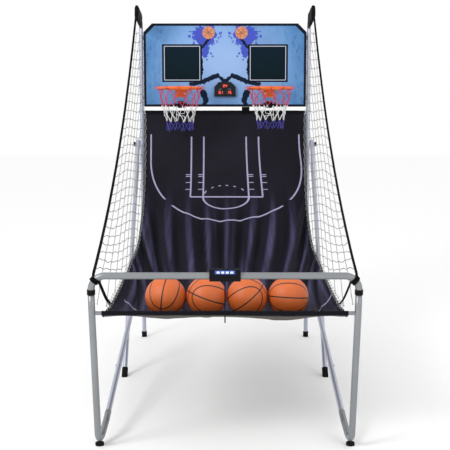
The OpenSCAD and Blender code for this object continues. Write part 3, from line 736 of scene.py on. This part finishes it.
def build_ramp():
    """The ramp as one sheet, with its flat places and its painted fold highlight and shade kept as two UV
    maps.
    """
    across, along = ((112, 250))
    rows, uvs, folds = [], [], []
    for j in range(along + 1):
        length = RAMP_LENGTH * j / along
        p, normal = ramp_at(length)
        row = []
        for i in range(across + 1):
            x = RAMP_HALF * (2 * i / across - 1)
            border = smoothstep(0.0, 0.06, RAMP_HALF - abs(x))
            h, crest_highlight, hollow_shade = fold_height(x, length)
            belly = BELLY * smoothstep(0.02, 0.08, length) * smoothstep(0.24, 0.15, length)
            belly *= smoothstep(1.0, 0.6, abs(x) / RAMP_HALF)
            h = h * (0.25 + 0.75 * border) + edge_lift(x, length) - belly
            q = p + normal * h
            row.append(at(x * 0.997, q.y, q.z))
            drag = 1 - PRINT_DRAG * smoothstep(2.32, 1.88, length) if x > 0 else 1.0
            uvs.append((x * drag, length - RAMP_LENGTH + PRINT_LENGTH))
            folds.append((crest_highlight, hollow_shade))
        rows.append(row)
    m = Mesh()
    m.grid(rows)
    obj = m.make("court_ramp", COURT)
    for name, values in (("flat", uvs), ("folds", folds)):
        layer = obj.data.uv_layers.new(name=name)
        for loop in obj.data.loops:
            layer.data[loop.index].uv = values[loop.vertex_index]
    return obj, across, along


def settle(obj, across, along, frames):
    """Lets the cloth hang from its top hem, front hem and side edges."""
    group = obj.vertex_groups.new(name="held")
    for j in range(along + 1):
        for i in range(across + 1):
            if j in (0, along) or i in (0, across):
                group.add([j * (across + 1) + i], 1.0, "REPLACE")
    cloth = obj.modifiers.new("cloth", "CLOTH")
    settings = cloth.settings
    settings.quality = 6
    settings.mass = 0.12
    settings.tension_stiffness = 25
    settings.compression_stiffness = 18
    settings.shear_stiffness = 8
    settings.bending_stiffness = 0.25
    settings.air_damping = 3.0
    settings.vertex_group_mass = "held"
    settings.effector_weights.gravity = 0.55
    cloth.collision_settings.use_collision = False
    cloth.collision_settings.use_self_collision = False
    scene = bpy.context.scene
    for f in range(1, frames + 1):
        scene.frame_set(f)
    shown = obj.evaluated_get(bpy.context.evaluated_depsgraph_get())
    co = np.zeros(len(shown.data.vertices) * 3, np.float32)
    shown.data.vertices.foreach_get("co", co)
    obj.modifiers.remove(cloth)
    obj.data.vertices.foreach_set("co", co)
    obj.data.update()
    scene.frame_set(1)


def clear_of_balls(obj):
    """Presses the cloth down under each ball and up to it, so the balls lie on it."""
    centres = [middle(f"ball_{i}") for i in range(1, 5)]
    radius = (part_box("ball_1")[1][0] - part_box("ball_1")[0][0]) / 2 + 0.0016
    for v in obj.data.vertices:
        for c in centres:
            d = math.hypot(v.co.x - c.x, v.co.y - c.y)
            if d < radius and v.co.z < c.z:
                under = c.z - math.sqrt(radius * radius - d * d)
                blend = smoothstep(0.045, 0.0, d)
                v.co.z = min(v.co.z + (under - v.co.z) * blend if under > v.co.z else under, under)
    obj.data.update()


ramp, across, along = build_ramp()
settle(ramp, across, along, 16)
clear_of_balls(ramp)
thick = ramp.modifiers.new("thickness", "SOLIDIFY")
thick.thickness = CLOTH_THICK
thick.offset = -1
thick.material_offset = 1
ramp.data.materials.append(CLOTH_BACK)
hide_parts("ramp")
ramp_edge = {}
for side, i in ((-1, 0), (1, across)):
    ramp_edge[side] = [ramp.data.vertices[j * (across + 1) + i].co.copy() for j in range(along + 1)]

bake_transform(ramp)


def front_hem():
    """The ramp's sewn pocket round the crossbar, gathered a little along its length."""
    low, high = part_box("front_hem")
    half, radius = high[0] - 0.001, (high[2] - low[2]) / 2
    count, around = 260, 20
    rows = []
    for i in range(count + 1):
        x = -half + 2 * half * i / count
        row = []
        for k in range(around):
            a = math.radians(20 + 350 * k / (around - 1))
            rough = noise.noise(Vector((x * 26, math.cos(a) * 1.2, math.sin(a) * 1.2))) * 0.0011
            r = radius - 0.0004 + rough
            row.append(Vector((x, CROSSBAR.y + r * math.sin(a), CROSSBAR.z + r * math.cos(a))))
        rows.append(row)
    m = Mesh()
    m.grid(rows)
    return m.make("front_hem_pocket", BLACK_CLOTH)


hem = place_on(front_hem(), "front_frame", "front_hem", slot="black_cloth")


def top_hem():
    """Pocket round the bar that the ramp hangs from."""
    low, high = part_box("ramp_top_bar")
    bar = (Vector(low) + Vector(high)) / 2
    radius = (high[2] - low[2]) / 2 + 0.0012
    rows = []
    for i in range(201):
        x = -RAMP_HALF + 2 * RAMP_HALF * i / 200
        drop = noise.noise(Vector((x * 9, 0, 3))) * 0.0012
        row = [at(x, bar.y - FRONT_Y - 0.0172, 1.397)]
        for k in range(13):
            a = math.radians(-90 + 24 * k)
            row.append(Vector((x, bar.y + radius * math.sin(a), bar.z + radius * math.cos(a) + drop)))
        rows.append(row)
    m = Mesh()
    m.grid(rows)
    return m.make("ramp_top_pocket", BLACK_CLOTH)


pocket = place_on(top_hem(), "rear_stand", slot="black_cloth")


def centre_strap():
    """Short strap between the ramp's top and the board."""
    low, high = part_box("centre_strap")
    rows = []
    for j in range(13):
        z = low[2] + 0.0006 + (high[2] - low[2] - 0.0012) * j / 12
        y = (low[1] + high[1]) / 2 + 0.0003 * math.sin(j)
        rows.append([Vector((low[0] + (high[0] - low[0]) * i / 8, y, z)) for i in range(9)])
    m = Mesh()
    m.grid(rows)
    obj = m.make("centre_strap_webbing", BLACK_WEBBING)
    obj.modifiers.new("thickness", "SOLIDIFY").thickness = CLOTH_THICK
    return obj


web = place_on(centre_strap(), "rear_stand", "centre_strap", slot="black_cloth")

# ---------------------------------------------------------------- side nets


def strap_point(s, t):
    """The net's front edge, from 0 at the front bar to 1 at the arm's tip."""
    sag = 4 * 0.120 * t * (1 - t)
    start, end = at(s * (LEG_X - 0.006), 0.022, BAR_Z + 0.003), ARM_ENDS[s]
    p = start.lerp(end, t)
    return Vector((p.x, p.y + sag * 0.3, p.z - sag))


STRAP_HIGH = 0.998  # the tape stops just short of the arm's tip


def strap_height(s, y):
    """Height and side place of the strap at a depth, found along its curve."""
    pts = [strap_point(s, k / 80) for k in range(81)]
    for p, q in zip(pts, pts[1:]):
        if p.y <= y <= q.y:
            t = (y - p.y) / (q.y - p.y)
            return p.lerp(q, t)
    return pts[-1] if y > pts[-1].y else pts[0]


def edge_height(s, y):
    """Height of the ramp's side edge at a depth."""
    best = ramp_edge[s][0]
    for p in ramp_edge[s]:
        if p.y <= y:
            best = p
    return best.z


def net_place(s, y, z):
    """A point of the net's curved surface, between the strap and the ramp's edge."""
    top = strap_height(s, y)
    low = edge_height(s, y)
    share = min(max((z - low) / max(top.z - low, 0.02), 0.0), 1.0)
    x = s * (RAMP_HALF + 0.010) * (1 - share) + top.x * share
    bulge = 0.008 * math.sin(math.pi * share)
    return Vector((x + s * bulge, y, z))


ROW_GAP = 0.041
COLUMN_GAP = 0.130
CORD_R = 0.0020
LACE_R = 0.0011
WRAP_R = 0.0013
LACE_STEP = 5  # rows of the ramp from one tie to the next


def strand(s, points, mesh, sway):
    """Adds one net strand, slightly crooked from knot to knot."""
    path = []
    for i, (y, z) in enumerate(points):
        j = noise.noise(Vector((y * 6, z * 6, sway))) * 0.008
        path.append(net_place(s, y + j, z + j * 0.6))
    if len(path) > 2:
        mesh.tube(path, CORD_R, 5)


def row_slope(z):
    """The net's rows fan: they fall towards the back low down and rise near the top."""
    return 0.235 * (z - 0.9) - 0.085


def side_net(s):
    """Side net: rows from front to back, columns along the tape, and its lacing."""
    m = Mesh()
    back = UPRIGHT.y - TUBE_R - 0.004
    top_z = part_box("right_upright")[1][2] - 0.035
    z = 0.62
    row = 0
    while z < top_z + 0.10:
        row += 1
        pts = []
        for k in range(140):
            y = at(0, 0.05, 0).y + (back - at(0, 0.05, 0).y) * k / 139
            top, low = strap_height(s, y).z, edge_height(s, y)
            sag = 0.022 * math.sin(math.pi * k / 139 * 1.6) ** 2
            zz = z - sag + row_slope(z) * (y - FRONT_Y - 0.8) + 0.0025 * math.sin(k * 0.55 + row)
            if low + 0.004 < zz < min(top - 0.004, top_z):
                pts.append((y, zz))
        strand(s, pts, m, row)
        z += ROW_GAP
    for c in range(1, 16):
        pts = []
        for k in range(160):
            t = k / 159 * 1.12
            p = strap_point(s, min(t, 1.0))
            y = p.y + max(0.0, t - 1.0) * 1.9
            zz = p.z + max(0.0, t - 1.0) * 1.3 - c * COLUMN_GAP
            zz += 0.0025 * math.sin(k * 0.7 + c)
            if y < back and edge_height(s, y) + 0.003 < zz < top_z:
                pts.append((y, zz))
            elif pts:
                strand(s, pts, m, 40 + c)
                pts = []
        strand(s, pts, m, 40 + c)
    # Lacing that ties the net to the ramp's edge and to the upright
    edge = [p for p in ramp_edge[s] if p.y > at(0, 0.10, 0).y]
    for turn in (0, 1):
        lace = []
        for k, p in enumerate(edge[::LACE_STEP]):
            out = (k + turn) % 2
            j = noise.noise(Vector((k * 0.9, turn, s))) * 0.006
            rise = 0.004 + 0.030 * out + j
            lace.append(p + Vector((s * (0.010 * out - 0.008), -0.004 - 0.003 * out, rise)))
        m.tube(lace, LACE_R, 5)
    z0, z1 = 1.40, top_z
    coils = 26
    wrap = []
    for k in range(coils * 10 + 1):
        a = 2 * math.pi * k / 10
        zz = z0 + (z1 - z0) * k / (coils * 10)
        wrap.append(Vector((s * SIDE_X + 0.0142 * math.cos(a), UPRIGHT.y + 0.0142 * math.sin(a), zz)))
    m.tube(wrap, WRAP_R, 5)
    return m.make("left_side_net" if s < 0 else "right_side_net", WHITE_TWINE)


def edge_strap(s):
    """Black edge tape of the net, from the arm to the front bar and back to the ramp."""
    m = Mesh()
    count = 90
    path = [strap_point(s, STRAP_HIGH * (1 - k / count)) for k in range(count + 1)]
    path = [p + Vector((0, 0, 0.002 * noise.noise(Vector((p.y * 9, 0, s))))) for p in path]
    path += [at(s * (LEG_X - 0.006), 0.010, BAR_Z - 0.016), at(s * (LEG_X - 0.005), 0.004, BAR_Z - 0.040)]
    m.tube(path, 0.0066, 10, flat=0.8)
    # Three turns that tie it to the bar's bend
    corner = at(s * (LEG_X - 0.017), -0.0145, BAR_Z - 0.017)
    way = Vector((s * 0.70, 0, -0.70)).normalized()
    turns = []
    for k in range(49):
        a = 2 * math.pi * k / 16
        across_way = way.cross(Vector((0, 1, 0)))
        turns.append(corner + way * (0.007 * k / 16 - 0.01)
                     + (Vector((0, 1, 0)) * math.cos(a) + across_way * math.sin(a)) * 0.0172)
    m.tube(turns, 0.0034, 8)
    end = ramp_edge[s][int(len(ramp_edge[s]) * 0.115)]
    start = at(s * (LEG_X - 0.026), 0.004, BAR_Z - 0.016)
    low = curve_through([start, start.lerp(end, 0.5) + Vector((-s * 0.004, 0, -0.022)), end], 16)
    m.tube(low, 0.0068, 10, flat=0.6)
    return m.make("left_edge_tape" if s < 0 else "right_edge_tape", BLACK_WEBBING)


def edge_binding(s):
    """Bound edge of the ramp, a rolled seam that the lacing passes through."""
    m = Mesh()
    m.tube([p + Vector((s * 0.002, 0, 0.001)) for p in ramp_edge[s][::2]], 0.0042, 8)
    return m.make("left_ramp_binding" if s < 0 else "right_ramp_binding", BLACK_CLOTH)


for s, side in ((-1, "left"), (1, "right")):
    for piece, node, slot in ((side_net(s), f"{side}_net", "white_mesh"),
                              (edge_strap(s), f"{side}_strap", "black_cloth"),
                              (edge_binding(s), None, "black_cloth")):
        if node:
            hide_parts(node)
        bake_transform(piece)

# ---------------------------------------------------------------- hoop nets

NET_STRANDS = 12
HOOP_CORD_R = 0.0019
HOOP_LOOP_R = 0.0018
KNOT_R = 0.0034
ARM_GAP = 0.024  # half of the opening left for the sensor's arm


def hoop_net(s, twist, drop):
    """Knotted net: loops under the ring, then diamonds, in three bands of colour."""
    centre = Vector((s * HOOP.x, HOOP.y, HOOP.z))
    # Radius, and share of the drop, of each level of knots
    levels = [(0.124, 0.004), (0.116, 0.22), (0.104, 0.42), (0.090, 0.60), (0.082, 0.78), (0.078, 0.98)]
    meshes = [Mesh(), Mesh(), Mesh()]
    band = [0, 0, 1, 1, 2]
    half_knot = Vector((0, 0, 0.004))

    def knot(level, k):
        r, share = levels[level]
        a = 2 * math.pi * (k + 0.5 * (level % 2)) / NET_STRANDS + twist * share
        swing = noise.noise(Vector((level * 1.7, k * 1.3, s * 5))) * 0.009 * min(1, level)
        lift = noise.noise(Vector((k * 2.1, level * 0.9, s * 8))) * 0.010 * min(1, level)
        r += swing
        return centre + Vector((r * math.cos(a), r * math.sin(a), -0.005 - drop * share + lift))

    def parted(points):
        """Moves the cords at the back aside, where the sensor's arm passes through."""
        for p in points:
            dx = p.x - centre.x
            share = smoothstep(0.01, 0.04, p.y - centre.y)
            share *= smoothstep(1.34, 1.37, p.z) * smoothstep(1.51, 1.49, p.z)
            if abs(dx) < ARM_GAP:
                p.x += (math.copysign(ARM_GAP, dx) - dx) * share
        return points

    for level in range(len(levels) - 1):
        m = meshes[band[level]]
        for k in range(NET_STRANDS):
            here = knot(level, k)
            for other in ((k, k - 1) if level % 2 == 0 else (k, k + 1)):
                there = knot(level + 1, other)
                bow = (here + there) / 2 + (centre - here) * 0.02
                m.tube(parted(curve_through([here, bow, there], 4)), HOOP_CORD_R, 6)
            if level:
                m.tube(parted([here + half_knot, here.copy(), here - half_knot]), KNOT_R, 6)
    for k in range(NET_STRANDS):
        # Loops over the ring's hooks
        here = knot(0, k)
        out = (here - centre).normalized()
        loop = []
        for j in range(12):
            a = 2 * math.pi * j / 12
            reach = Vector((out.x, out.y, 0)) * (0.0125 + 0.010 * math.cos(a))
            loop.append(here + reach + Vector((0, 0, 0.0065 + 0.0095 * math.sin(a))))
        meshes[0].tube(loop, HOOP_LOOP_R, 6, closed=True)
    side = "left" if s < 0 else "right"
    names = (("red_band", NET_RED), ("white_band", NET_WHITE), ("blue_band", NET_BLUE))
    return [m.make(f"{side}_net_{n}", mat) for m, (n, mat) in zip(meshes, names)]


for s, side, twist, drop in ((-1, "left", 0.5, 0.250), (1, "right", -0.5, 0.238)):
    for part in hoop_net(s, twist, drop):
        place_on(part, "rear_stand", f"{side}_hoop_net", slot="hoop_cord")

# ---------------------------------------------------------------- score display

# The lit segments of each number that the display shows
SEGMENTS = {"1": "bc", "2": "abged", "4": "fgbc", "5": "afgcd", "8": "abcdefg"}


def digits(text, x, z, height):
    """Seven-segment digits, standing just proud of the display window."""
    m = Mesh()
    w, h, thick = height * 0.5, height, height * 0.13
    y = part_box("scoreboard_displays")[0][1] - 0.0006
    places = {"a": (0, h / 2, 1), "g": (0, 0, 1), "d": (0, -h / 2, 1), "f": (-w / 2, h / 4, 0),
              "b": (w / 2, h / 4, 0), "e": (-w / 2, -h / 4, 0), "c": (w / 2, -h / 4, 0)}
    for i, digit in enumerate(text):
        cx = x + (i - (len(text) - 1) / 2) * w * 1.75
        for segment in SEGMENTS[digit]:
            dx, dz, flat = places[segment]
            long_half = (w if flat else h / 2) / 2 - thick * 0.25
            a = Vector((long_half if flat else 0, 0, 0 if flat else long_half))
            mid = Vector((cx + dx, y, z + dz))
            radii = [thick * 0.1, thick * 0.5, thick * 0.5, thick * 0.1]
            m.tube([mid - a, mid - a * 0.8, mid + a * 0.8, mid + a], radii, 6)
    return m


LED = led()
score_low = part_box("scoreboard_case")[0]
for name, text, x, rise in (("clock_digits", "24", 0.0, 0.064), ("left_score_digits", "81", -0.026, 0.025),
                            ("right_score_digits", "15", 0.026, 0.025)):
    readout = digits(text, x, score_low[2] + rise, 0.0150).make(name, LED)
    place_on(readout, "rear_stand", slot="display_red")


def score_dashes():
    """Two small printed marks over the lower numbers."""
    m = Mesh()
    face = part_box("scoreboard_case")[0][1] - 0.0004
    for x in (-0.028, 0.028):
        p = Vector((x, face, score_low[2] + 0.0445))
        m.tube([p - Vector((0.008, 0, 0)), p + Vector((0.008, 0, 0))], 0.0012, 6)
    return m.make("score_dashes", MARK_GREY)


place_on(score_dashes(), "rear_stand", slot="black_plastic")

# ---------------------------------------------------------------- camera, light, floor


def stage():
    """A white floor, far wider than the machine."""
    bpy.ops.mesh.primitive_plane_add(size=60, location=(0, 0, -0.0005))
    floor = bpy.context.active_object
    floor.name = "floor"
    s = Shade("floor_white", 0.9)
    s.colour(s.mix(s.noise(1.5), rgb(0.965, 0.965, 0.965), rgb(0.975, 0.975, 0.975)))
    floor.data.materials.append(s.mat)


def area_light(name, place, target, size, power):
    data = bpy.data.lights.new(name, "AREA")
    data.shape = "DISK"
    data.size = size
    data.energy = power
    obj = bpy.data.objects.new(name, data)
    obj.location = place
    obj.rotation_euler = (Vector(target) - Vector(place)).to_track_quat("-Z", "Y").to_euler()
    bpy.context.scene.collection.objects.link(obj)


def camera(x, y, z, pitch):
    """The camera, looking along +Y and down by pitch degrees."""
    data = bpy.data.cameras.new("camera")
    data.lens = 70.3
    data.sensor_width = 36
    data.clip_end = 100
    obj = bpy.data.objects.new("camera", data)
    obj.location = at(x, y, z)
    obj.rotation_euler = (math.radians(90 - pitch), 0, 0)
    bpy.context.scene.collection.objects.link(obj)
    bpy.context.scene.camera = obj


def world():
    """Plain white light from all round."""
    w = bpy.data.worlds.new("studio")
    w.use_nodes = True
    w.node_tree.nodes["Background"].inputs["Color"].default_value = (1, 1, 1, 1)
    w.node_tree.nodes["Background"].inputs["Strength"].default_value = 1.0
    bpy.context.scene.world = w


stage()
camera(0, -3.4527, 1.3578, 6.76)
world()
area_light("key", (-3.4, -3.4, 3.6), (0, 0, 1.0), 1.8, 120)
area_light("fill", (3.4, -3.8, 2.4), (0, 0, 0.9), 2.6, 30)
bpy.context.scene.view_settings.view_transform = "Standard"
